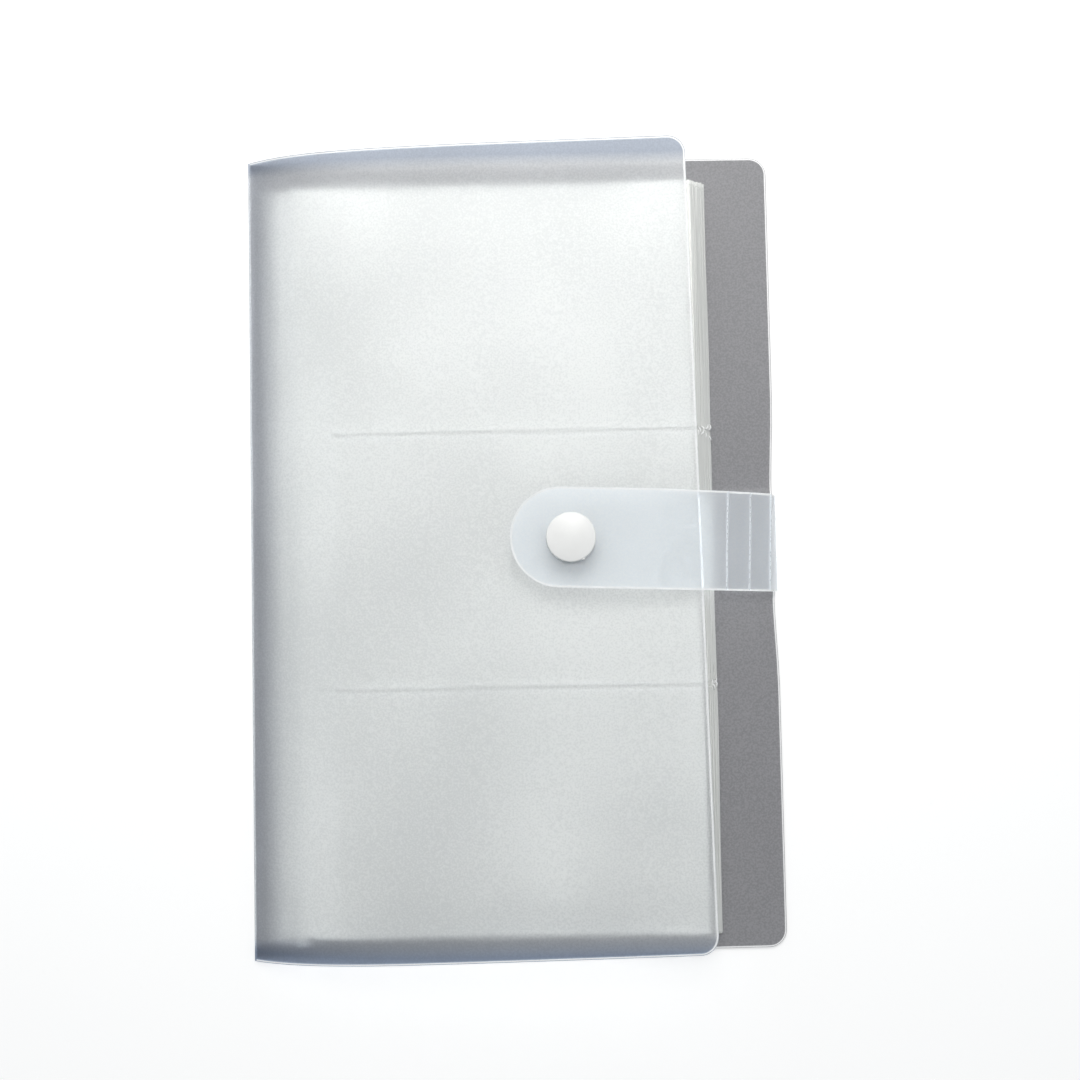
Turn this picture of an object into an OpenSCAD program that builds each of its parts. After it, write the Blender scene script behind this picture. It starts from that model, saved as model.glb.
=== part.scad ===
// Trading card album: a folded frosted cover with a soft spine, pocket leaves welded
// to the spine, and a scored strap that closes round the fore edge with a plastic snap.
// It lies closed and empty on its back. X runs from the spine to the fore edge,
// Y from the tail to the head, Z up.

/* [Cards and pockets] */
// Length of a card, which lies along X in its pocket
card_l = 88; // [60:1:130]
// Width of a card, which lies along Y in its pocket
card_w = 63; // [50:1:100]
// Play along a card's length in its pocket
end_play = 4.5; // [1:0.5:10]
// Play across a card's width in its pocket
side_play = 0.7; // [0.4:0.1:3]
// Width of the weld under each pocket
weld_w = 1; // [0.5:0.1:2]
// How far a pocket's front film stops below its mouth
mouth_lip = 1.2; // [0.5:0.1:4]
// Pockets in one leaf, one above the other
rows = 3; // [1:1:4]

/* [Leaves] */
// Number of leaves
leaf_count = 16; // [4:1:16]
// Thickness of one layer of leaf film
film_t = 0.1; // [0.05:0.01:0.1]
// Width of the plain margin between the spine and the pockets
margin_w = 10; // [7:0.5:16]
// Distance between the weld lines of neighbouring leaves, across the spine
weld_pitch = 0.3; // [0.2:0.05:0.4]
// Height that each leaf's weld stands above the one below it
weld_step = 0.2; // [0.15:0.01:0.25]
// Slope of the top leaf's margin, in degrees
margin_slope = 16; // [10:1:20]
// Slope of the top leaf's pockets, in degrees
pocket_slope = 2; // [1:0.1:2.5]
// Distance from the back crease to the first leaf's weld
weld_inset = 3; // [1:0.5:4]
// Width of the weld block beyond the top leaf's weld
block_edge = 1; // [0.5:0.1:1.5]

/* [Cover] */
// Thickness of the cover sheet
cover_t = 0.6; // [0.4:0.05:0.8]
// Width of the spine between its creases
spine_w = 20; // [18:0.5:30]
// Cover beyond the first leaf's fore edge
fore_margin = 16.5; // [16:0.5:30]
// Cover beyond the leaves at the head
head_margin = 7.8; // [2:0.1:15]
// Cover beyond the leaves at the tail
tail_margin = 4.1; // [2:0.1:15]
// Radius of the fore-edge corners
corner_r = 4.5; // [1:0.5:12]
// Length over which the closed front cover bends up from its crease
bend_l = 15; // [12:0.5:18]
// Slope of the closed front cover beyond the bend
front_slope = 0.02; // [0:0.005:0.03]
// Angle by which the closed front cover lies askew, in degrees
front_skew = 1; // [0:0.1:1.5]
// Gap between the top leaf and the front cover or its inner cap
cover_gap = 0.3; // [0.2:0.05:1]

/* [Strap] */
// Width of the strap
strap_w = 25; // [18:0.5:40]
// Thickness of the strap
strap_t = 0.5; // [0.4:0.05:0.8]
// Distance between the strap's score lines
score_pitch = 6.5; // [5:0.1:8]
// Length of the strap end that is welded under the back cover
anchor_l = 13.5; // [8:0.5:15]
// How far the strap draws the back cover's fore edge in
strap_inset = 0.4; // [0:0.1:1]
// Lean of the strap's first panel, in degrees above the table
riser_lean = 65; // [55:1:80]
// Angle by which the closed strap lies askew, in degrees
strap_skew = 2.2; // [0:0.1:3]
// Place of the strap's middle along the fore edge
strap_y = 0.8; // [-60:0.1:60]
// Gap between the strap and the front cover's fore edge
strap_gap = 0.6; // [0.3:0.1:2]
// Strap beyond the middle of the snap
strap_end = 15.2; // [10:0.1:25]

/* [Snap] */
// Distance from the front cover's fore edge to the snap
snap_inset = 32.9; // [20:0.1:60]
// Diameter of the snap's caps
cap_d = 12.4; // [9:0.1:15]
// Height of a cap's straight rim
rim_h = 0.7; // [0.4:0.05:1]
// Height of the outer cap's dome above its rim
dome_h = 0.9; // [0.4:0.05:1.5]
// Height of the inner cap's dome above its rim
inner_dome_h = 0.4; // [0.2:0.05:0.5]
// Diameter of the stud's and socket's flanges
flange_d = 10.4; // [7:0.1:12]
// Thickness of those flanges
flange_t = 0.8; // [0.5:0.05:1.2]
// Diameter of the stud's knob
knob_d = 4.4; // [3.6:0.1:5]
// Height of the stud's knob above its flange
knob_h = 1.4; // [1.2:0.1:2]
// Wall of the socket's cup
cup_wall = 1.2; // [0.8:0.1:1.6]
// Diameter of the caps' posts
post_d = 2.2; // [1.6:0.1:2.6]
// Diameter of the rivet head pressed on each post
head_d = 3.2; // [2.8:0.1:3.4]
// Thickness of that rivet head
head_t = 0.3; // [0.2:0.05:0.4]
// Radial clearance of the knob in its socket
snap_clear = 0.3; // [0.2:0.05:0.4]
// Width of the slits that let the socket's cup spring
slit_w = 0.6; // [0.3:0.1:1]

/* [Fits] */
// Gap beside a crease's round edge
crease_gap = 0.05; // [0.03:0.01:0.1]
// Gap between parts that lie on each other and move apart
lay_gap = 0.12; // [0.08:0.01:0.3]
// Radial clearance of a post in its hole
post_clear = 0.1; // [0.05:0.01:0.2]
// Gap between a snap's flange and the bendy sheet that it is riveted to
seat_gap = 0.02; // [0.01:0.01:0.05]

/* [Hidden] */
$fn = 64;
curve_steps = 28;
leaf_numbers = [for (i = [1:leaf_count]) str(i < 10 ? "0" : "", i)];
leaf_names = [for (number = leaf_numbers) str("leaf_", number)];
pocket_names = [for (number = leaf_numbers) str("pockets_", number)];

// Leaves and cover in plan
pocket_w = card_l + end_play;
row_pitch = card_w + side_play + weld_w;
leaf_h = rows * row_pitch;
leaf_l = margin_w + pocket_w;
cover_h = leaf_h + head_margin + tail_margin;
leaf_y = -cover_h / 2 + tail_margin;
cover_w = leaf_l - weld_inset + fore_margin;
fore_x = spine_w + cover_w;
plan_mid = [fore_x / 2, 0];

// Leaves in section: leaf 0 lies on the back cover, the last under the front cover
function leaf_share(i) = i / (leaf_count - 1);
function weld_point(i) =
    [spine_w - weld_inset - i * weld_pitch, cover_t + lay_gap + i * weld_step];
function along(p, length, angle) = p + length * [cos(angle), sin(angle)];
function bend_point(i) = along(weld_point(i), margin_w, leaf_share(i) * margin_slope);
function edge_point(i) = along(bend_point(i), pocket_w, leaf_share(i) * pocket_slope);
top_bend = bend_point(leaf_count - 1);

// Middle of the front cover sheet in section, over the distance x from its crease:
// it rises just enough to clear the top leaf's bend and the inner cap over that leaf
bead_r = cover_t / 2;
fold_z = cover_t + bead_r - crease_gap;
cap_x = cover_w - snap_inset;
cap_floor = top_bend[1] + (cap_x - top_bend[0]) * tan(pocket_slope);
cap_stack = seat_gap + rim_h + inner_dome_h;
function rise_over(x, z) =
    (z + 2 * film_t + cover_gap + bead_r - fold_z - front_slope * x) / (1 - exp(-x / bend_l));
front_rise = max(rise_over(top_bend[0], top_bend[1]), rise_over(cap_x, cap_floor + cap_stack));
function front_z(x) = fold_z + front_rise * (1 - exp(-x / bend_l)) + front_slope * x;
function step_x(k, reach) = reach * pow(k / curve_steps, 1.5);
function front_length(reach) = let (p = [for (k = [0:curve_steps])
    [step_x(k, reach), front_z(step_x(k, reach))]])
    [for (k = 0, l = 0; k < curve_steps; l = l + norm(p[k + 1] - p[k]), k = k + 1)
        l + norm(p[k + 1] - p[k])][curve_steps - 1];
front_reach = 2 * cover_w - front_length(cover_w);

// Strap in section, from its hinge at the fore edge up and over the front cover
strap_r = strap_t / 2;
hinge_a = [fore_x - strap_inset + crease_gap + strap_r, strap_r];
hinge_b = along(hinge_a, score_pitch, 180 - riser_lean);
anchor_x = fore_x - strap_inset - anchor_l;
anchor_end = hinge_a[0] - strap_r * (1 + cos(riser_lean)) / sin(riser_lean) - 2 * crease_gap;
crest = front_z(front_reach) + bead_r + strap_gap + strap_r;
span_d = hinge_b[0] - 2 * score_pitch - front_reach;
strap_slope = (crest - hinge_b[1]) / (3.5 * score_pitch + max(span_d, 0)) * 180 / PI;
slope_bc = 2 * strap_slope;
slope_cd = 1.5 * strap_slope;
slope_d = strap_slope;
hinge_c = along(hinge_b, score_pitch, 180 - slope_bc);
hinge_d = along(hinge_c, score_pitch, 180 - slope_cd);

// Snap, set square to the front cover
snap_x = front_reach - snap_inset;
snap_tilt = atan((front_z(snap_x + 1) - front_z(snap_x - 1)) / 2);
snap_z = front_z(snap_x) + bead_r;
cup_gap = crease_gap * 2;
stud_z = seat_gap;
knob_z = stud_z + flange_t;
cup_z = knob_z + cup_gap;
cup_top = knob_z + knob_h + head_t;
strap_floor = cup_top + flange_t + seat_gap;
post_r = post_d / 2;
hole_r = post_r + post_clear;
head_r = head_d / 2;
knob_r = knob_d / 2;
cavity_r = knob_r + snap_clear;

// Middle of the strap's tongue in section: from crease D up, then along over the snap
crest_blend = 0.15;
function rising_z(x) = hinge_d[1] + (hinge_d[0] - x) * tan(slope_d);
function level_z(x) = snap_z + (strap_floor + strap_r) / cos(snap_tilt)
    + (x - snap_x) * tan(snap_tilt);
function tongue_z(x) = let (a = rising_z(x), b = level_z(x))
    (a + b) / 2 - sqrt(pow((a - b) / 2, 2) + pow(crest_blend, 2));
tip_x = snap_x - strap_end;

// A sheet whose section through X and Z is the given outline, from y up to y + depth
module sheet(outline, y, depth) {
    translate([0, y + depth, 0]) rotate([90, 0, 0]) linear_extrude(depth) polygon(outline);
}

// A flat sheet with its lower face from p to q in section
module flat_sheet(p, q, t, y, depth) {
    sheet([p, q, q + [0, t], p + [0, t]], y, depth);
}

// A round edge along Y, which a crease turns about
module crease_edge(p, r, y, depth) {
    translate([p[0], y, p[1]]) rotate([-90, 0, 0]) cylinder(r = r, h = depth);
}

// Plan of a cover panel from x = 0, with its two corners at x = reach rounded
module panel_plan(reach, start) {
    half = cover_h / 2;
    translate([start, -half]) square([reach - corner_r - start, cover_h]);
    translate([start, corner_r - half]) square([reach - start, cover_h - 2 * corner_r]);
    for (side = [-1, 1]) translate([reach - corner_r, side * (half - corner_r)]) circle(corner_r);
}

// Puts what belongs to the strap askew, about the middle of its hinge
module strap_place() {
    translate([hinge_a[0], strap_y, 0]) rotate(-strap_skew) translate([-hinge_a[0], 0, 0]) children();
}

// The snap's own frame: z = 0 on the front cover's outer face
module snap_place() {
    strap_place() translate([snap_x, 0, snap_z]) rotate([0, -snap_tilt, 0]) children();
}

module centred() {
    translate([-plan_mid[0], 0, 0]) children();
}

// Room for the strap's welded end, which the back cover steps over
module anchor_block(grow, z, height) {
    translate([anchor_x - grow, strap_y - strap_w / 2 - grow, z])
        cube([anchor_end - anchor_x + grow, strap_w + 2 * grow, height]);
}

module back_cover() {
    notch = strap_inset + cover_t;
    color("lightsteelblue", 0.6) centred() difference() {
        union() {
            translate([spine_w, 0, 0]) linear_extrude(cover_t) panel_plan(cover_w, 0);
            anchor_block(cover_t, 0, strap_t + cover_t);
        }
        anchor_block(0, -1, 1 + strap_t);
        translate([fore_x - notch, strap_y - strap_w / 2 - cover_t, -1])
            cube([notch + 1, strap_w + 2 * cover_t, strap_t + cover_t + 2]);
    }
}

module spine() {
    start = bead_r + crease_gap;
    color("lightsteelblue", 0.6) centred() translate([start, -cover_h / 2, 0])
        cube([spine_w - start, cover_h, cover_t]);
}

// The thinned line that the front cover folds along
module front_crease() {
    color("lightsteelblue", 0.6) centred() crease_edge([0, fold_z], bead_r, -cover_h / 2, cover_h);
}

module front_cover() {
    middle = [for (k = [0:curve_steps]) let (x = step_x(k, front_reach + 1)) [x, front_z(x)]];
    lower = [for (p = middle) p - [0, bead_r]];
    upper = [for (k = [curve_steps:-1:0]) middle[k] + [0, bead_r]];
    skew_room = cover_h * sin(front_skew);
    start = bead_r + crease_gap;
    color("lightsteelblue", 0.6) centred() difference() {
        intersection() {
            sheet(concat(lower, upper), -cover_h, 2 * cover_h);
            rotate(front_skew) linear_extrude(crest) panel_plan(front_reach, -skew_room - 1);
            translate([start, -cover_h, 0]) cube([2 * cover_w, 2 * cover_h, crest]);
        }
        snap_place() cylinder(r = hole_r, h = 4 * cover_t, center = true);
    }
}

// The leaves' welded margins, fused into one stepped block on the spine
module binding_block() {
    left = weld_point(leaf_count - 1)[0] - block_edge;
    tread = lay_gap / 6;
    steps = [for (i = [0:leaf_count - 1]) let (p = weld_point(i) - [lay_gap, tread])
        each [p, p + [0, weld_step]]];
    top = steps[len(steps) - 1][1];
    color("whitesmoke", 0.8) centred()
        sheet(concat([[left, cover_t], [steps[0][0], cover_t]], steps, [[left, top]]), leaf_y, leaf_h);
}

// One leaf's plain film: its margin and the back of its pockets
module leaf(i) {
    color("whitesmoke", 0.4) centred() {
        flat_sheet(weld_point(i), bend_point(i), film_t, leaf_y, leaf_h);
        flat_sheet(bend_point(i), edge_point(i), film_t, leaf_y, leaf_h);
    }
}

// The front films of one leaf's pockets, lying flat on its back film
module pockets(i) {
    lift = [0, film_t];
    color("white", 0.4) centred() for (row = [0:rows - 1])
        flat_sheet(bend_point(i) + lift, edge_point(i) + lift, film_t,
            leaf_y + row * row_pitch, row_pitch - mouth_lip);
}

module strap_anchor() {
    color("aliceblue", 0.6) centred() anchor_block(0, 0, strap_t);
}

// A strap panel in section, from the round edge at one crease to just short of the next
module strap_panel(from, to, reach) {
    direction = (to - from) / norm(to - from);
    side = strap_r * [-direction[1], direction[0]];
    end = from + direction * reach;
    crease_edge(from, strap_r, -strap_w / 2, strap_w);
    sheet([from - side, end - side, end + side, from + side], -strap_w / 2, strap_w);
}

panel_reach = score_pitch - strap_r - crease_gap;

// The first panel twists from the straight fore edge to the strap's own lean
module strap_riser() {
    top = hinge_a + (hinge_b - hinge_a) * (panel_reach / score_pitch);
    color("aliceblue", 0.6) centred() {
        translate([0, strap_y, 0]) crease_edge(hinge_a, strap_r, -strap_w / 2, strap_w);
        hull() {
            translate([0, strap_y, 0]) crease_edge(hinge_a, strap_r, -strap_w / 2, strap_w, $fn = 16);
            strap_place() crease_edge(top - [0, strap_r], strap_r, -strap_w / 2, strap_w, $fn = 16);
        }
    }
}

module strap_panel_1() {
    color("aliceblue", 0.6) centred() strap_place() strap_panel(hinge_b, hinge_c, panel_reach);
}

module strap_panel_2() {
    color("aliceblue", 0.6) centred() strap_place() strap_panel(hinge_c, hinge_d, panel_reach);
}

module strap_tongue() {
    length = hinge_d[0] - tip_x;
    middle = [for (k = [0:curve_steps]) let (x = hinge_d[0] - length * k / curve_steps) [x, tongue_z(x)]];
    lower = [for (p = middle) p - [0, strap_r]];
    upper = [for (k = [curve_steps:-1:0]) middle[k] + [0, strap_r]];
    tip_r = strap_w / 2;
    color("aliceblue", 0.6) centred() {
        difference() {
            strap_place() intersection() {
                sheet(concat(lower, upper), -strap_w, 2 * strap_w);
                linear_extrude(2 * crest) union() {
                    translate([tip_x + tip_r, 0]) circle(tip_r);
                    translate([tip_x + tip_r, -tip_r]) square([length - tip_r, strap_w]);
                }
            }
            snap_place() translate([0, 0, strap_floor - 1]) cylinder(r = hole_r, h = strap_t + 2);
        }
        strap_place() crease_edge(hinge_d, strap_r, -strap_w / 2, strap_w);
    }
}

// A domed cap with its post and the rivet head at the end of the post, post downwards
module snap_cap_form(dome, post_l) {
    r = cap_d / 2;
    ball_r = (r * r + dome * dome) / (2 * dome);
    cylinder(r = r, h = rim_h);
    translate([0, 0, rim_h]) intersection() {
        translate([0, 0, dome - ball_r]) sphere(ball_r, $fn = 360);
        cylinder(r = r, h = dome);
    }
    translate([0, 0, -post_l]) cylinder(r = post_r, h = post_l);
    translate([0, 0, -post_l - head_t]) cylinder(r = head_r, h = head_t);
}

module snap_cap() {
    color("white") centred() snap_place() translate([0, 0, strap_floor + strap_t + seat_gap])
        snap_cap_form(dome_h, strap_t + flange_t + 2 * seat_gap);
}

// The socket hangs under the strap: a flange, and a slit cup that closes over the stud's knob
module snap_socket() {
    cup_r = cavity_r + cup_wall;
    color("white") centred() snap_place() difference() {
        union() {
            translate([0, 0, cup_top]) cylinder(d = flange_d, h = flange_t);
            translate([0, 0, cup_z]) cylinder(r = cup_r, h = cup_top - cup_z);
        }
        cylinder(r = cavity_r, h = cup_top);
        cylinder(r = hole_r, h = strap_floor + 1);
        for (turn = [0, 90]) rotate(turn) translate([-cup_r - 1, -slit_w / 2, 0])
            cube([2 * cup_r + 2, slit_w, cup_top]);
    }
}

// The stud stands on the front cover: a flange, and a knob with a tapered top
module snap_stud() {
    taper_h = knob_h / 2;
    color("white") centred() snap_place() difference() {
        union() {
            translate([0, 0, stud_z]) cylinder(d = flange_d, h = flange_t);
            translate([0, 0, knob_z]) cylinder(r = knob_r, h = knob_h - taper_h);
            translate([0, 0, knob_z + knob_h - taper_h])
                cylinder(r1 = knob_r, r2 = knob_r - taper_h / 2, h = taper_h);
        }
        cylinder(r = hole_r, h = cup_top);
        translate([0, 0, knob_z + knob_h - 2 * head_t]) cylinder(r = head_r + post_clear, h = knob_h);
    }
}

module snap_inner_cap() {
    post_l = cover_t + seat_gap + knob_z + knob_h - 2 * head_t;
    color("white") centred() snap_place() translate([0, 0, -cover_t - seat_gap]) rotate([180, 0, 0])
        snap_cap_form(inner_dome_h, post_l);
}

back_cover();
spine();
front_crease();
front_cover();
binding_block();
strap_anchor();
strap_riser();
strap_panel_1();
strap_panel_2();
strap_tongue();
snap_cap();
snap_socket();
snap_stud();
snap_inner_cap();
for (i = [0:leaf_count - 1]) {
    leaf(i);
    pockets(i);
}
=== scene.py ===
from math import cos, exp, hypot, pi, radians, sin, sqrt, tan

import bmesh
import bpy
from mathutils import Matrix, Vector, noise


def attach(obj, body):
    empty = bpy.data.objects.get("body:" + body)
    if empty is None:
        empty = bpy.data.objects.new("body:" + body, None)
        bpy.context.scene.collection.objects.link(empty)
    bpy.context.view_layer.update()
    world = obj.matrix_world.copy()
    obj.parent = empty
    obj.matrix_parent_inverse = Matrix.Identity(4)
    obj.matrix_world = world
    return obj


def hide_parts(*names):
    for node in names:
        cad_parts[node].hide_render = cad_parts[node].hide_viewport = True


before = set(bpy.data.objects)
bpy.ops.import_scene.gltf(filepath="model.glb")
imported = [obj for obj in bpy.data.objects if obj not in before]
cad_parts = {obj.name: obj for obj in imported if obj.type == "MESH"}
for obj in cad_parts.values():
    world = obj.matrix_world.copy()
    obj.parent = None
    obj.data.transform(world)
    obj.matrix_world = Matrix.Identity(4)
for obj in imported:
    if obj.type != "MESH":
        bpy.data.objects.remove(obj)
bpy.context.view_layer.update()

# Sizes are in millimetres, in the section that runs from the spine's fold to the fore edge.
MM = 0.001
FORE_X, COVER_H, COVER_T, SPINE_W = 136.0, 206.0, 0.6, 20.0
COVER_END, CORNER_R, COVER_ROUND = COVER_H / 2, 4.5, 0.16
# The second width is that of the painted highlight band along the cover sheets' cut edges.
EDGE_LIP, EDGE_GLINT_BAND, FILM_BAND = 0.16, 0.32, 0.3
FOLD_CUT, FOLD_SPARE, FOLD_LIFT = 0.35, -5.0, 0.12
FOLD_Z, RISE, BEND_L, SLOPE = 0.85, 8.0457, 15.0, 0.02
FRONT_REACH, FRONT_SKEW = 114.782, radians(1)
LEAF_COUNT, LEAF_Y, LEAF_H, ROW_PITCH, ROWS = 16, -98.9, 194.1, 64.7, 3
MARGIN_W, POCKET_W, FILM_T, MOUTH_LIP, WELD_W = 10.0, 92.5, 0.1, 1.2, 2.0
LEAF_L, LEAF_HEAD = MARGIN_W + POCKET_W, LEAF_Y + LEAF_H
WELD_X, WELD_Z, WELD_PITCH, WELD_STEP = 17.0, 0.72, 0.3, 0.2
MARGIN_SLOPE, POCKET_SLOPE = radians(16), radians(2)
STRAP_W, STRAP_T, STRAP_Y, STRAP_SKEW = 25.0, 0.5, 0.8, radians(2.2)
STRAP_LIP, STRAP_BAND, STRAP_ROUND, SCORE_END = 0.08, 0.4, 0.14, 0.06
HINGE_A, HINGE_B = Vector((135.9, 0.25)), Vector((133.153, 6.141))
HINGE_C, HINGE_D = Vector((127.274, 8.9137)), Vector((121.126, 11.0233))
TONGUE_SLOPE, CREST_BLEND, STRAP_END = radians(12.6252), 0.15, 15.2
SNAP_X, SNAP_Z, SNAP_TILT, STRAP_FLOOR = 81.882, 10.7991, radians(1.27668), 3.34
CAP_R, CAP_RIM, CAP_DOME, CAP_ROUND = 6.2, 0.7, 0.9, 0.4
POST_R, HEAD_R, HEAD_T, POST_L, NUB_R = 1.1, 1.6, 0.3, 1.34, 0.42

# How far soft sheet strays from its plain shape, in millimetres.
PAD_X, PAD_STEP, PAD_HALF, PAD_SIDE = 120.9, 1.2, 14.2, 1.3
EDGE_DRAW, EDGE_DRAW_REACH, EDGE_DRAW_FADE = 0.8, 38.0, 24.0
COVER_WAVE, COVER_WAVE_L = 0.16, 46.0
LEAF_WAVE, LEAF_WAVE_L = 0.6, 34.0
LEAF_SAG, LEAF_SAG_MORE, HEAD_SAG_L, FOOT_SAG_L = 1.2, 0.8, 14.0, 12.0
PUCKER, PUCKER_L, PUCKER_SPREAD = 0.30, 1.7, 3.2
FOOT_DRAW, HEAD_DRAW, HEAD_DRAW_LESS, DRAW_FADE = 2.4, 0.9, 1.7, 40.0
LEAF_SLACK = (0, 0, 1.1, 0, 1.9, 0, 0, 1.5, 0, 2.4, 0, 1.2, 0, 0, 1.8, 0)
CURL_LEAVES = (1, 5, 9, 13)
CURL_L, CURL_W, CURL_H, CURL_BEND = 0.95, 0.2, 0.12, 0.5


def ease(t):
    """0 to 1, with soft ends."""
    t = min(max(t, 0.0), 1.0)
    return t * t * (3 - 2 * t)


def ripple(x, y, length, seed):
    """A smooth wave of about that length, from -1 to 1."""
    return noise.noise(Vector((x / length, y / length, seed * 7.31)))


def front_z(x):
    """Height of the middle of the closed front cover's sheet."""
    return FOLD_Z + RISE * (1 - exp(-x / BEND_L)) + SLOPE * x


def tongue_z(x):
    """Height of the middle of the closed strap's tongue."""
    rising = HINGE_D[1] + (HINGE_D[0] - x) * tan(TONGUE_SLOPE)
    level = SNAP_Z + (STRAP_FLOOR + STRAP_T / 2) / cos(SNAP_TILT) + (x - SNAP_X) * tan(SNAP_TILT)
    return (rising + level) / 2 - sqrt((rising - level) ** 2 / 4 + CREST_BLEND**2)


def in_frame(x, y, z):
    """A point of the section in the shared frame, in metres."""
    return Vector((x - FORE_X / 2, y, z)) * MM


def strap_turn(x, y, share=1.0):
    """Turns a plan point of the strap askew about the middle of its hinge."""
    turn = -STRAP_SKEW * share
    dx = x - HINGE_A[0]
    return HINGE_A[0] + dx * cos(turn) - y * sin(turn), STRAP_Y + dx * sin(turn) + y * cos(turn)


# Materials
def new_material(name):
    """A material with a Principled shader, and the tools to add nodes to it."""
    mat = bpy.data.materials.new(name)
    mat.use_nodes = True
    return mat, mat.node_tree.nodes, mat.node_tree.links, mat.node_tree.nodes["Principled BSDF"]


def grain(nodes, links, size, detail=2.0):
    """Noise on Object coordinates, with grains of about that size in millimetres."""
    place = nodes.get("place") or nodes.new("ShaderNodeTexCoord")
    place.name = "place"
    node = nodes.new("ShaderNodeTexNoise")
    node.inputs["Scale"].default_value = 1 / (size * MM)
    node.inputs["Detail"].default_value = detail
    links.new(place.outputs["Object"], node.inputs["Vector"])
    return node.outputs["Fac"]


def between(nodes, links, factor, low, high, start=0.3, end=0.7):
    """A number that goes from low to high with a factor."""
    node = nodes.new("ShaderNodeMapRange")
    node.inputs["From Min"].default_value, node.inputs["From Max"].default_value = start, end
    node.inputs["To Min"].default_value, node.inputs["To Max"].default_value = low, high
    links.new(factor, node.inputs["Value"])
    return node.outputs["Result"]


def largest(nodes, links, numbers):
    """The largest of some numbers."""
    best = numbers[0]
    for number in numbers[1:]:
        node = nodes.new("ShaderNodeMath")
        node.operation = "MAXIMUM"
        links.new(best, node.inputs[0])
        links.new(number, node.inputs[1])
        best = node.outputs[0]
    return best


def tint(nodes, links, factor, low, high, start=0.3, end=0.7):
    """A colour that goes from low to high with a factor."""
    node = nodes.new("ShaderNodeValToRGB")
    node.color_ramp.elements[0].position, node.color_ramp.elements[1].position = start, end
    node.color_ramp.elements[0].color = (*low, 1)
    node.color_ramp.elements[1].color = (*high, 1)
    links.new(factor, node.inputs["Fac"])
    return node.outputs["Color"]


def relief(nodes, links, shader, height, strength, depth):
    """A fine surface relief of that depth in millimetres."""
    node = nodes.new("ShaderNodeBump")
    node.inputs["Strength"].default_value = strength
    node.inputs["Distance"].default_value = depth * MM
    links.new(height, node.inputs["Height"])
    links.new(node.outputs["Normal"], shader.inputs["Normal"])


def let_lamps_through(nodes, links, shader, share):
    """Thin plastic scatters most light onwards, so lamps reach what lies behind it."""
    path = nodes.new("ShaderNodeLightPath")
    scale = nodes.new("ShaderNodeMath")
    scale.operation = "MULTIPLY"
    scale.inputs[1].default_value = share
    clear = nodes.new("ShaderNodeBsdfTransparent")
    mix = nodes.new("ShaderNodeMixShader")
    links.new(path.outputs["Is Shadow Ray"], scale.inputs[0])
    links.new(scale.outputs[0], mix.inputs[0])
    links.new(shader.outputs[0], mix.inputs[1])
    links.new(clear.outputs[0], mix.inputs[2])
    links.new(mix.outputs[0], nodes["Material Output"].inputs["Surface"])


def frosted(name, low, high, clear, rough, lamps, uneven):
    """Frosted sheet: a milky body that blurs what lies behind it, with a matt grain and soft patches."""
    mat, nodes, links, shader = new_material(name)
    fine = grain(nodes, links, 0.5, 3)
    patchy = nodes.new("ShaderNodeMath")
    links.new(fine, patchy.inputs[0])
    links.new(between(nodes, links, grain(nodes, links, 40, 1), -uneven, uneven), patchy.inputs[1])
    links.new(tint(nodes, links, patchy.outputs[0], low, high, 0.4, 0.6), shader.inputs["Base Color"])
    links.new(between(nodes, links, fine, rough - 0.06, rough + 0.08), shader.inputs["Roughness"])
    relief(nodes, links, shader, fine, 0.35, 0.05)
    shader.inputs["Transmission Weight"].default_value = clear
    shader.inputs["IOR"].default_value = 1.42
    shader.inputs["Coat Weight"].default_value = 0.2
    shader.inputs["Coat Roughness"].default_value = 0.5
    let_lamps_through(nodes, links, shader, lamps)
    return mat


def paint_margin_shade(mat, colour):
    """Painted shade: darkens a sheet where no leaves lie behind it, at its head, its foot and, less, its
    fold, for the shade under the closed cover, deepest at the foot.
    """
    nodes, links = mat.node_tree.nodes, mat.node_tree.links
    split = nodes.new("ShaderNodeSeparateXYZ")
    links.new(nodes["place"].outputs["Object"], split.inputs[0])
    fold = -FORE_X / 2
    # How much painted shade each margin takes: the head, the foot and the fold.
    spans = (("Y", 0, 0.72, 98, 101), ("Y", 1, 0, -100.5, -96), ("X", 0.26, 0, fold + 1, fold + 9))
    shares = [between(nodes, links, split.outputs[axis], low, high, start * MM, end * MM)
              for axis, low, high, start, end in spans]
    body = nodes["Principled BSDF"].inputs["Base Color"]
    mix = nodes.new("ShaderNodeMix")
    mix.data_type, mix.blend_type = "RGBA", "MULTIPLY"
    links.new(largest(nodes, links, shares), mix.inputs[0])
    links.new(body.links[0].from_socket, mix.inputs[6])
    mix.inputs[7].default_value = (*colour, 1)
    links.new(mix.outputs[2], body)


def edge_glint_and_score(name, colour, clear):
    """A bright line along a sheet's edge: on a cut edge it is a painted highlight, for the light the clear
    edge catches; on a score it is a pale crease line.
    """
    mat, nodes, links, shader = new_material(name)
    low = [c * 0.93 for c in colour]
    links.new(tint(nodes, links, grain(nodes, links, 3), low, colour), shader.inputs["Base Color"])
    links.new(between(nodes, links, grain(nodes, links, 0.6), 0.22, 0.38), shader.inputs["Roughness"])
    shader.inputs["Transmission Weight"].default_value = clear
    let_lamps_through(nodes, links, shader, 0.6)
    return mat


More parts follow.
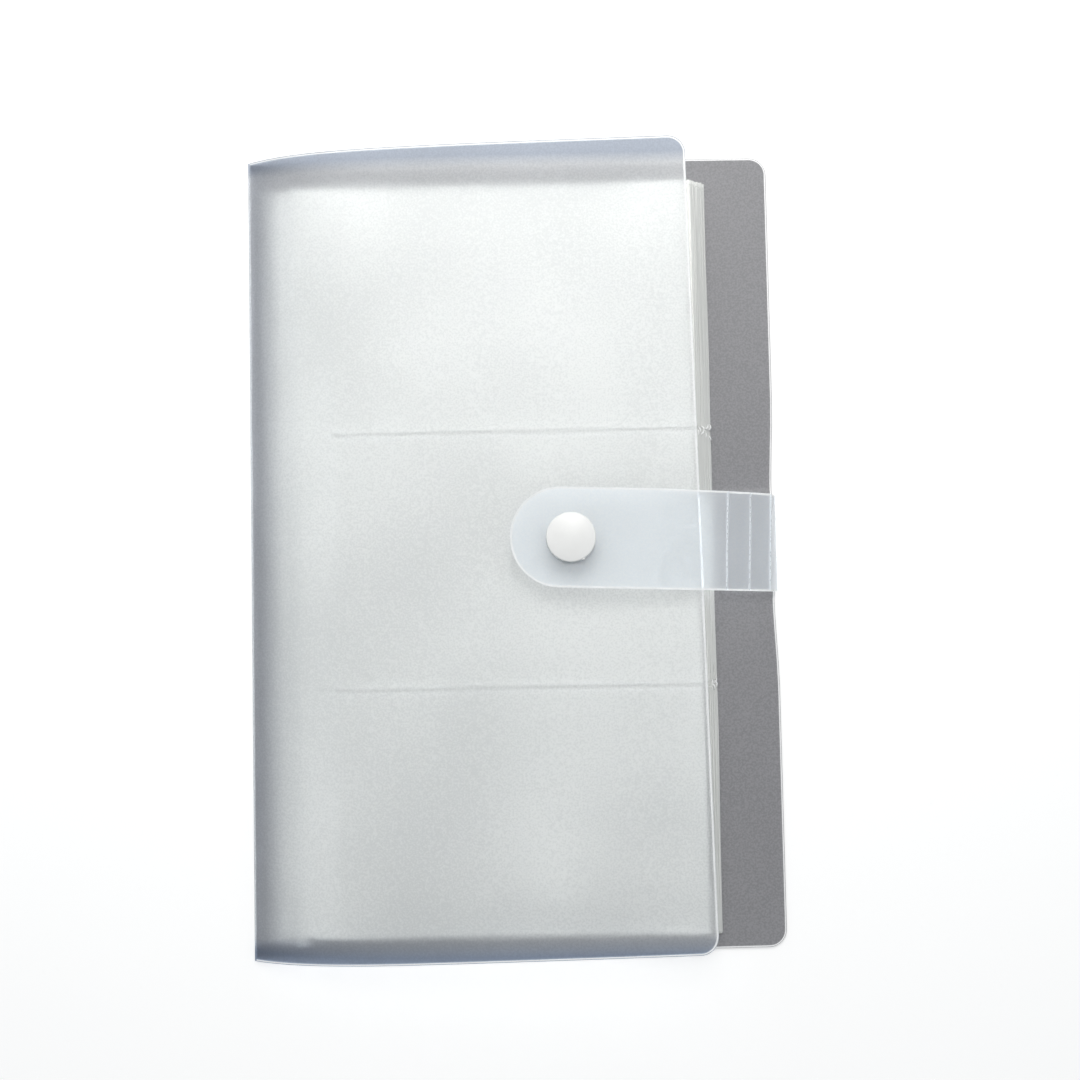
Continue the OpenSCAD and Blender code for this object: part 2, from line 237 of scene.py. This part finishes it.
def film(name, colour, alpha, rough):
    """Clear soft film, faintly cloudy, with shallow crinkles."""
    mat, nodes, links, shader = new_material(name)
    low = [c * 0.985 for c in colour]
    cloud = grain(nodes, links, 45, 1)
    links.new(tint(nodes, links, cloud, low, colour), shader.inputs["Base Color"])
    links.new(between(nodes, links, cloud, alpha * 0.92, alpha * 1.08), shader.inputs["Alpha"])
    smear = grain(nodes, links, 12)
    links.new(between(nodes, links, smear, rough - 0.04, rough + 0.06), shader.inputs["Roughness"])
    relief(nodes, links, shader, grain(nodes, links, 11, 1), 0.4, 0.5)
    shader.inputs["Specular IOR Level"].default_value = 0.9
    return mat


def fade_along_x(mat, start, end, alpha):
    """Lets a film grow from nothing to its full haze between two places along X."""
    nodes, links = mat.node_tree.nodes, mat.node_tree.links
    split = nodes.new("ShaderNodeSeparateXYZ")
    links.new(nodes["place"].outputs["Object"], split.inputs[0])
    ramp = between(nodes, links, split.outputs["X"], 0, alpha, start * MM, end * MM)
    links.new(ramp, nodes["Principled BSDF"].inputs["Alpha"])


def moulded(name, colour):
    """White moulded plastic with a satin skin."""
    mat, nodes, links, shader = new_material(name)
    low = [c * 0.96 for c in colour]
    links.new(tint(nodes, links, grain(nodes, links, 4), low, colour), shader.inputs["Base Color"])
    fine = grain(nodes, links, 0.35, 3)
    links.new(between(nodes, links, fine, 0.3, 0.42), shader.inputs["Roughness"])
    relief(nodes, links, shader, fine, 0.15, 0.02)
    return mat


front_frost = frosted("front_frost", (0.675, 0.688, 0.70), (0.81, 0.82, 0.83), 0.94, 0.6, 0.86, 0.05)
# Painted shade: a dark blue-grey multiplied into the front cover's head, foot and fold margins.
paint_margin_shade(front_frost, (0.33, 0.39, 0.5))
back_frost = frosted("back_frost", (0.28, 0.278, 0.293), (0.37, 0.368, 0.385), 0.4, 0.5, 0.5, 0.02)
strap_frost = frosted("strap_frost", (0.90, 0.94, 0.98), (0.955, 0.98, 1), 0.86, 0.42, 0.85, 0.01)
# Painted highlight: a near-white, opaque band along the cut edges of the covers and the strap, for the light
# their clear edges catch.
sheet_edge_glint = edge_glint_and_score("sheet_edge_glint", (0.98, 0.985, 0.99), 0.0)
leaf_film = film("leaf_film", (0.965, 0.97, 0.945), 0.34, 0.16)
margin_film = film("margin_film", (0.965, 0.97, 0.945), 0.55, 0.16)
weld_line = film("weld_line", (0.975, 0.978, 0.952), 0.46, 0.2)
# Painted highlight: a denser, brighter band along every cut edge of the leaf films and pocket fronts, for the
# light those edges catch.
film_edge_glint = film("film_edge_glint", (0.965, 0.975, 0.955), 0.62, 0.16)
weld_film = film("weld_film", (0.95, 0.96, 0.94), 0.55, 0.22)
base_film = film("base_film", (0.95, 0.96, 0.94), 0.6, 0.22)
fade_along_x(base_film, 2 - FORE_X / 2, 11 - FORE_X / 2, 0.7)
score_line = edge_glint_and_score("score_line", (0.88, 0.91, 0.95), 0.3)
snap_plastic = moulded("snap_plastic", (0.91, 0.91, 0.90))


# Pieces
def finished(name, bm, body, materials, nodes):
    """Makes the object, lets it ride on its body, and lets it stand for its solids."""
    mesh = bpy.data.meshes.new(name)
    bm.to_mesh(mesh)
    bm.free()
    mesh.polygons.foreach_set("use_smooth", [True] * len(mesh.polygons))
    piece = bpy.data.objects.new(name, mesh)
    bpy.context.scene.collection.objects.link(piece)
    for mat in materials:
        mesh.materials.append(mat)
    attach(piece, body)
    if nodes:
        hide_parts(*nodes)
    return piece


def panel(bm, left, right, low, high, corner, lip, band, x_cuts, y_cuts):
    """A flat panel cut into strips, with its right corners rounded and a band beside its plain lip."""
    half = (high - low) / 2
    made = bmesh.ops.create_grid(bm, x_segments=1, y_segments=1, size=0.5)
    bmesh.ops.scale(bm, vec=(right - left, 2 * half, 1), verts=made["verts"])
    bmesh.ops.translate(bm, vec=((left + right) / 2, (low + high) / 2, 0), verts=made["verts"])
    if corner:
        fore = [v for v in made["verts"] if v.co.x > (left + right) / 2]
        bmesh.ops.bevel(bm, geom=fore, offset=corner, offset_type="OFFSET", segments=12,
                        profile=0.5, affect="VERTICES", material=-1, clamp_overlap=False)
    middle = bm.faces[:]
    if lip:
        bmesh.ops.inset_region(bm, faces=middle, thickness=lip, use_boundary=True, use_even_offset=True)
    ring = bmesh.ops.inset_region(bm, faces=middle, thickness=band, use_boundary=True, use_even_offset=True)
    # The band takes the piece's second material, which on the covers, the strap and the leaves is a painted
    # highlight along the cut edge.
    for face in ring["faces"]:
        face.material_index = 1
    for axis, cuts in (((1, 0, 0), x_cuts), ((0, 1, 0), y_cuts)):
        for cut in cuts:
            bmesh.ops.bisect_plane(bm, geom=bm.verts[:] + bm.edges[:] + bm.faces[:], dist=1e-5,
                                   plane_co=Vector(axis) * cut, plane_no=axis)


def cut_at_fold(bm):
    """Cuts off the spare strip of a cover sheet at its fold, so that no bright band runs along the fold."""
    bmesh.ops.bisect_plane(bm, geom=bm.verts[:] + bm.edges[:] + bm.faces[:], dist=1e-5,
                           plane_co=(FOLD_CUT, 0, 0), plane_no=(1, 0, 0), clear_inner=True)


def steps(start, end, pitch):
    """Even cuts between two places."""
    count = max(2, round((end - start) / pitch))
    return [start + (end - start) * i / count for i in range(1, count)]


def thicken(piece, thickness, round_off):
    """Gives a sheet its thickness and rounds its cut edges."""
    solid = piece.modifiers.new("thickness", "SOLIDIFY")
    solid.thickness = thickness * MM
    solid.offset = 0
    if round_off:
        bevel = piece.modifiers.new("edge_glint_and_score", "BEVEL")
        bevel.width = round_off * MM
        bevel.segments = 2
        bevel.limit_method = "ANGLE"
        bevel.angle_limit = radians(50)
        bevel.harden_normals = True


def back_sheet():
    """Spine and back cover, one sheet that steps over the strap's end and is drawn in beside it."""
    bm = bmesh.new()
    fine = [SPINE_W - 0.6, SPINE_W, SPINE_W + 0.6]
    x_cuts = [0.7, 1.1, 1.6] + steps(FOLD_CUT, 119, 6) + steps(119, FORE_X, 0.8) + fine
    y_cuts = steps(-COVER_END, -18, 6) + steps(-18, 20, 0.9) + steps(20, COVER_END, 6)
    panel(bm, FOLD_SPARE, FORE_X, -COVER_END, COVER_END, CORNER_R, EDGE_LIP, EDGE_GLINT_BAND, x_cuts, y_cuts)
    cut_at_fold(bm)
    for v in bm.verts:
        x, y = v.co.x, v.co.y
        beside = abs(y - STRAP_Y)
        pad = ease((x - PAD_X) / PAD_STEP) * ease((PAD_HALF - beside) / PAD_SIDE)
        z = COVER_T / 2 + STRAP_T * pad + FOLD_LIFT * ease((1.6 - x) / 1.2)
        drawn = EDGE_DRAW * ease((EDGE_DRAW_REACH - beside) / EDGE_DRAW_FADE) * ease((x - 120) / 15)
        v.co = in_frame(x - drawn, y, z)
    piece = finished("back_cover_sheet", bm, "back", [back_frost, sheet_edge_glint],
                     ["back_cover", "spine"])
    thicken(piece, COVER_T, COVER_ROUND)


def front_sheet():
    """Front cover: it bends up from its fold, then runs on nearly flat, a little askew."""
    bm = bmesh.new()
    x_cuts = steps(-4, 30, 0.8) + steps(30, FRONT_REACH, 4)
    panel(bm, FOLD_SPARE, FRONT_REACH, -COVER_END, COVER_END, CORNER_R, EDGE_LIP, EDGE_GLINT_BAND, x_cuts,
          steps(-COVER_END, COVER_END, 4.5))
    bmesh.ops.rotate(bm, cent=(0, 0, 0), matrix=Matrix.Rotation(FRONT_SKEW, 3, "Z"), verts=bm.verts[:])
    cut_at_fold(bm)
    snap_x, snap_y = strap_turn(SNAP_X, 0)
    for v in bm.verts:
        x, y = v.co.x, v.co.y
        calm = ease((x - 6) / 30) * ease((hypot(x - snap_x, y - snap_y) - 8) / 14)
        v.co = in_frame(x, y, front_z(x) + COVER_WAVE * calm * ripple(x, y, COVER_WAVE_L, 1))
    piece = finished("front_cover_sheet", bm, "front_cover", [front_frost, sheet_edge_glint],
                     ["front_cover"])
    thicken(piece, COVER_T, COVER_ROUND)


def leaf_point(i, s, lift):
    """A point of leaf i's section, s along it from its weld."""
    share = i / (LEAF_COUNT - 1)
    steep, flat = share * MARGIN_SLOPE, share * POCKET_SLOPE
    x, z = WELD_X - i * WELD_PITCH, WELD_Z + i * WELD_STEP
    run = min(s, MARGIN_W)
    x, z = x + run * cos(steep), z + run * sin(steep)
    if s > MARGIN_W:
        x, z = x + (s - MARGIN_W) * cos(flat), z + (s - MARGIN_W) * sin(flat)
    return x, z + lift


def crinkle(i, s, y):
    """How far leaf i lies off its plain section: long waves, drooping ends, puckers at the weld ends."""
    reach = s / LEAF_L
    share = i / (LEAF_COUNT - 1)
    wave = LEAF_WAVE * share * ease(reach * 4) * ease((1 - reach) * 5) * ripple(s, y, LEAF_WAVE_L, 2)
    wave += 0.10 * reach * ripple(s, y, 38, 2) + 0.05 * reach * ripple(s, y, 17, 3 + i)
    sag = LEAF_SAG + LEAF_SAG_MORE * ease((s - 42) / 12) * ease((92 - s) / 12)
    ends = ease((y - LEAF_HEAD) / HEAD_SAG_L + 1) + 0.8 * ease((LEAF_Y - y) / FOOT_SAG_L + 1)
    wave -= sag * share * ends * ease(reach * 6)
    for row in range(1, ROWS):
        near = exp(-((y - LEAF_Y - row * ROW_PITCH) / PUCKER_SPREAD) ** 2) * exp((s - LEAF_L) / 5)
        wave += PUCKER * near * ripple(s, y, PUCKER_L, 5 + i)
    return wave


def edge_sweep(i, s, y):
    """How far the fore edge of a slack leaf draws back below the lower weld."""
    below = LEAF_Y + ROW_PITCH - y
    drawn = LEAF_SLACK[i] * exp(-below / 11 if below > 0 else below / 2.5)
    wave = 0.28 * ripple(0, y, 30, 11 + i)
    return (drawn + wave) * ease((s - 70) / 32)


def binding_strip():
    """The base strip of the leaf block: a film that lies on the spine and is welded to it."""
    bm = bmesh.new()
    left, right = 1.8, WELD_X
    panel(bm, left, right, LEAF_Y, LEAF_HEAD, 0, 0, FILM_BAND, steps(left, right, 1.2),
          steps(LEAF_Y, LEAF_HEAD, 4))
    for v in bm.verts:
        v.co = in_frame(v.co.x, v.co.y, COVER_T + 0.06)
    piece = finished("binding_strip", bm, "back", [base_film, base_film], [])
    thicken(piece, FILM_T * 0.6, 0)


def drawn_in(i, s, y):
    """How far the foot and the head of leaf i are moved up, the foot most on the upper leaves."""
    share = i / (LEAF_COUNT - 1)
    foot = FOOT_DRAW * share + 0.4 * ripple(s, 0, 30, 31 + i)
    head = HEAD_DRAW - HEAD_DRAW_LESS * share + 0.3 * ripple(s, 0, 30, 51 + i)
    return foot * ease((LEAF_Y - y) / DRAW_FADE + 1) + head * ease((y - LEAF_HEAD) / DRAW_FADE + 1)


def place_on_leaf(i, s, y, lift):
    """A point on leaf i in the shared frame, lift above its underside."""
    x, z = leaf_point(i, s - edge_sweep(i, s, y), lift + crinkle(i, s, y))
    return in_frame(x, y + drawn_in(i, s, y), z)


def weld_puckers(i):
    """Small curls of melted film where the welds between the pockets meet the fore edge."""
    bm = bmesh.new()
    for row in range(1, ROWS):
        for k in range(2):
            seed = 13 * i + 5 * row + k
            s, y = LEAF_L + 0.25 - 0.3 * k, LEAF_Y + row * ROW_PITCH + 1.6 * sin(2.3 * seed)
            curl = bmesh.ops.create_icosphere(bm, subdivisions=2, radius=1)
            for v in curl["verts"]:
                x, y_off, z = v.co
                v.co = Vector((x * CURL_L, y_off * CURL_W + CURL_BEND * x**2, z * CURL_H)) * MM
            place = Matrix.Translation(place_on_leaf(i, s, y, FILM_T * 2.2))
            turn = Matrix.Rotation(pi / 2 + 0.8 * sin(1.9 * seed), 4, "Z")
            bmesh.ops.transform(bm, matrix=place @ turn, verts=curl["verts"])
    number = f"{i + 1:02d}"
    # The curls take the painted edge highlight, so their near-white is partly a painted highlight on real
    # curls of film.
    finished(f"weld_puckers_{number}", bm, f"leaf_{number}", [sheet_edge_glint], [])


def leaf(i):
    """One leaf: a plain film with three pocket fronts welded on it."""
    s_cuts = [2, 4, 6, 8, 9, 10, 11, 12] + steps(12, LEAF_L - 8, 6) + steps(LEAF_L - 8, LEAF_L, 1.0)
    rows = [LEAF_Y + row * ROW_PITCH for row in range(ROWS)]
    bm = bmesh.new()
    by_weld = (0.5, 1.0, 2.0, 3.2, 5.0)
    y_cuts = []
    for y in rows:
        y_cuts += [y + d for d in by_weld] + steps(y + 5, y + ROW_PITCH - 5, 6)
        y_cuts += [y + ROW_PITCH - d for d in (5.0, 3.2, 2.0, 1.0)] + ([y] if y > LEAF_Y else [])
    panel(bm, 0, LEAF_L, LEAF_Y, LEAF_HEAD, 0, 0, FILM_BAND, s_cuts, y_cuts)
    for v in bm.verts:
        v.co.z = FILM_T / 2
    for face in bm.faces:
        if face.material_index == 0 and face.calc_center_median().x < MARGIN_W:
            face.material_index = 2
    for y in rows:
        front = bmesh.new()
        top = y + ROW_PITCH - MOUTH_LIP
        y_cuts = [y + d for d in by_weld] + steps(y + 5, top - 4, 6) + [top - 4, top - 2, top - 1]
        panel(front, MARGIN_W, LEAF_L, y, top, 0, 0, FILM_BAND, s_cuts[6:], y_cuts)
        for v in front.verts:
            across = (v.co.x - MARGIN_W) / POCKET_W
            up = (v.co.y - y) / (top - y)
            belly = sqrt(max(0.0, 4 * across * (1 - across))) * ease(up * 6) * (0.05 + 0.12 * across)
            v.co.z = FILM_T * 1.5 + belly
        for face in front.faces:
            if face.material_index == 0 and face.calc_center_median().y < y + WELD_W:
                face.material_index = 3
        scratch = bpy.data.meshes.new("scratch")
        front.to_mesh(scratch)
        front.free()
        bm.from_mesh(scratch)
        bpy.data.meshes.remove(scratch)
    for v in bm.verts:
        s, y, lift = v.co
        v.co = place_on_leaf(i, s, y, lift)
    number = f"{i + 1:02d}"
    piece = finished(f"leaf_film_{number}", bm, f"leaf_{number}",
                     [leaf_film, film_edge_glint, margin_film, weld_line],
                     [f"leaf_{number}", f"pockets_{number}"])
    thicken(piece, FILM_T * 0.9, 0)


def keep_one_score(bm, start, end):
    """Makes a thin score line of the band at the start of a strap panel, and none at its far end."""
    for face in bm.faces:
        middle = face.calc_center_median()
        inside = abs(middle.y) < STRAP_W / 2 - 0.5
        if face.material_index == 1 and inside and (middle.x > end or middle.x < 0.3):
            face.material_index = 2 if middle.x < start else 0


def strap_strip(name, body, start, end, nodes, twist=False):
    """One flat panel of the strap, between two of its score lines."""
    bm = bmesh.new()
    run = end - start
    length = run.length
    panel(bm, -0.2, length - 0.28, -STRAP_W / 2, STRAP_W / 2, 0, STRAP_LIP, STRAP_BAND,
          [SCORE_END] + steps(0, length, 1.1), steps(-12.5, 12.5, 2))
    keep_one_score(bm, SCORE_END, length - 0.8)
    for v in bm.verts:
        s, y = v.co.x, v.co.y
        p = start + run * (s / length)
        x, y = strap_turn(p.x, y, max(0.0, s / length) if twist else 1.0)
        v.co = in_frame(x, y, p.y)
    piece = finished(name, bm, body, [strap_frost, sheet_edge_glint, score_line], nodes)
    thicken(piece, STRAP_T, STRAP_ROUND)


def strap_tongue():
    """The strap's long tongue, over the front cover to its round end."""
    bm = bmesh.new()
    length = HINGE_D[0] - SNAP_X + STRAP_END
    panel(bm, -0.2, length, -STRAP_W / 2, STRAP_W / 2, STRAP_W / 2 - 0.01, STRAP_LIP, STRAP_BAND,
          [SCORE_END] + steps(0, length, 0.9), steps(-12.5, 12.5, 1.6))
    keep_one_score(bm, SCORE_END, length)
    for v in bm.verts:
        along, y = v.co.x, v.co.y
        x, turned = strap_turn(HINGE_D[0] - along, y)
        v.co = in_frame(x, turned, tongue_z(HINGE_D[0] - along))
    bmesh.ops.recalc_face_normals(bm, faces=bm.faces[:])
    piece = finished("strap_tongue_sheet", bm, "strap_tongue",
                     [strap_frost, sheet_edge_glint, score_line], ["strap_tongue"])
    thicken(piece, STRAP_T, STRAP_ROUND)


def snap_frame(z):
    """Where the snap sits: square to the front cover, z above its outer face."""
    x, y = strap_turn(SNAP_X, 0)
    return (Matrix.Translation(in_frame(x, y, SNAP_Z)) @ Matrix.Rotation(-STRAP_SKEW, 4, "Z")
            @ Matrix.Rotation(-SNAP_TILT, 4, "Y") @ Matrix.Translation((0, 0, z * MM)))


def snap_cap():
    """Outer cap: a shallow dome with a rounded rim, on a riveted post, with the nub of its gate."""
    ball = (CAP_R**2 + CAP_DOME**2) / (2 * CAP_DOME)
    base = -POST_L - HEAD_T
    outline = [(0, base), (HEAD_R - 0.1, base), (HEAD_R, base + 0.1), (HEAD_R, -POST_L), (POST_R, -POST_L),
               (POST_R, 0), (CAP_R - 0.2, 0), (CAP_R, 0.2), (CAP_R, CAP_RIM - CAP_ROUND)]
    for k in range(1, 6):
        turn = pi / 2 * k / 6
        rim_z = CAP_RIM - CAP_ROUND * (1 - sin(turn)) + 0.02 * k
        outline.append((CAP_R - CAP_ROUND * (1 - cos(turn)), rim_z))
    for k in range(8):
        r = (CAP_R - CAP_ROUND) * (1 - k / 8) ** 0.8
        outline.append((r, CAP_RIM + CAP_DOME - ball + sqrt(ball**2 - r**2)))
    outline.append((0, CAP_RIM + CAP_DOME))
    bm = bmesh.new()
    points = [bm.verts.new((r * MM, 0, z * MM)) for r, z in outline]
    edges = [bm.edges.new(pair) for pair in zip(points, points[1:])]
    bmesh.ops.spin(bm, geom=points + edges, cent=(0, 0, 0), axis=(0, 0, 1), dvec=(0, 0, 0),
                   angle=2 * pi, steps=72, use_merge=True, use_duplicate=False)
    bmesh.ops.remove_doubles(bm, verts=bm.verts[:], dist=1e-7)
    bmesh.ops.recalc_face_normals(bm, faces=bm.faces[:])
    nub = bmesh.ops.create_icosphere(bm, subdivisions=3, radius=NUB_R * MM)
    place = Matrix.Translation((CAP_R * 0.52 * MM, -CAP_R * 0.84 * MM, 0.34 * MM))
    bmesh.ops.transform(bm, matrix=place @ Matrix.Diagonal((1, 1, 0.6, 1)), verts=nub["verts"])
    bmesh.ops.transform(bm, matrix=snap_frame(STRAP_FLOOR + STRAP_T + 0.02), verts=bm.verts[:])
    finished("snap_cap_dome", bm, "strap_tongue", [snap_plastic], ["snap_cap"])


back_sheet()
front_sheet()
binding_strip()
for number in range(LEAF_COUNT):
    leaf(number)
    if number in CURL_LEAVES:
        weld_puckers(number)
strap_strip("strap_riser_sheet", "strap_riser", HINGE_A, HINGE_B, ["strap_riser"], twist=True)
strap_strip("strap_panel_1_sheet", "strap_panel_1", HINGE_B, HINGE_C, ["strap_panel_1"])
strap_strip("strap_panel_2_sheet", "strap_panel_2", HINGE_C, HINGE_D, ["strap_panel_2"])
strap_tongue()
snap_cap()
for node, mat in (("front_crease", front_frost), ("binding_block", weld_film),
                  ("strap_anchor", strap_frost), ("snap_socket", snap_plastic),
                  ("snap_stud", snap_plastic), ("snap_inner_cap", snap_plastic)):
    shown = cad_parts[node]
    shown.data.materials.clear()
    shown.data.materials.append(mat)


# Floor, light and camera
def where_seen(nodes, links, low, high):
    """A strength that is high where the background is looked at, also in gloss and through clear sheet."""
    path = nodes.new("ShaderNodeLightPath")
    rays = [path.outputs[ray] for ray in ("Is Camera Ray", "Is Glossy Ray", "Is Transmission Ray")]
    return between(nodes, links, largest(nodes, links, rays), low, high, 0, 1)


def floor():
    """A plain white table top."""
    bm = bmesh.new()
    bmesh.ops.create_grid(bm, x_segments=1, y_segments=1, size=2)
    bmesh.ops.translate(bm, vec=(0, 0, -0.0003), verts=bm.verts[:])
    mesh = bpy.data.meshes.new("floor")
    bm.to_mesh(mesh)
    bm.free()
    ground = bpy.data.objects.new("floor", mesh)
    bpy.context.scene.collection.objects.link(ground)
    mat, nodes, links, shader = new_material("floor_white")
    shader.inputs["Base Color"].default_value = (0.8, 0.8, 0.8, 1)
    shader.inputs["Roughness"].default_value = 0.9
    shader.inputs["Specular IOR Level"].default_value = 0.1
    shader.inputs["Emission Color"].default_value = (1, 1, 1, 1)
    links.new(where_seen(nodes, links, 0, 0.36), shader.inputs["Emission Strength"])
    mesh.materials.append(mat)


def lamp(name, place, size, watts, colour):
    """A soft lamp that faces the middle of the album."""
    light = bpy.data.lights.new(name, "AREA")
    light.shape = "DISK"
    light.size = size
    light.energy = watts
    light.color = colour
    spot = bpy.data.objects.new(name, light)
    spot.matrix_world = Matrix.Translation(place) @ Vector(place).to_track_quat("Z", "Y").to_matrix().to_4x4()
    bpy.context.scene.collection.objects.link(spot)


def daylight():
    """Even, slightly cool light all round, and white where it is looked at."""
    world = bpy.data.worlds.new("studio")
    bpy.context.scene.world = world
    world.use_nodes = True
    sky = world.node_tree.nodes["Background"]
    sky.inputs["Color"].default_value = (0.93, 0.97, 1, 1)
    links = world.node_tree.links
    links.new(where_seen(world.node_tree.nodes, links, 0.42, 1), sky.inputs["Strength"])


def camera():
    """The view: from above, a little off square."""
    view = bpy.data.cameras.new("view")
    view.sensor_width = 36
    view.lens = 36.1
    turn = (Matrix.Rotation(radians(1.0827), 3, "Z") @ Matrix.Rotation(radians(1.0082), 3, "Y")
            @ Matrix.Rotation(radians(-2.3481), 3, "X"))
    eye = bpy.data.objects.new("view", view)
    eye.matrix_world = Matrix.Translation((0.001441, -0.008672, 0.282075)) @ turn.transposed().to_4x4()
    bpy.context.scene.collection.objects.link(eye)
    bpy.context.scene.camera = eye


floor()
lamp("window", (0.05, 0.34, 0.5), 0.36, 1.88, (1, 0.985, 0.96))
lamp("side_window", (-0.17, 0.38, 0.5), 0.16, 0.65, (1, 0.985, 0.96))
daylight()
camera()
bpy.context.scene.view_settings.view_transform = "Standard"
bpy.context.scene.cycles.transparent_max_bounces = 48
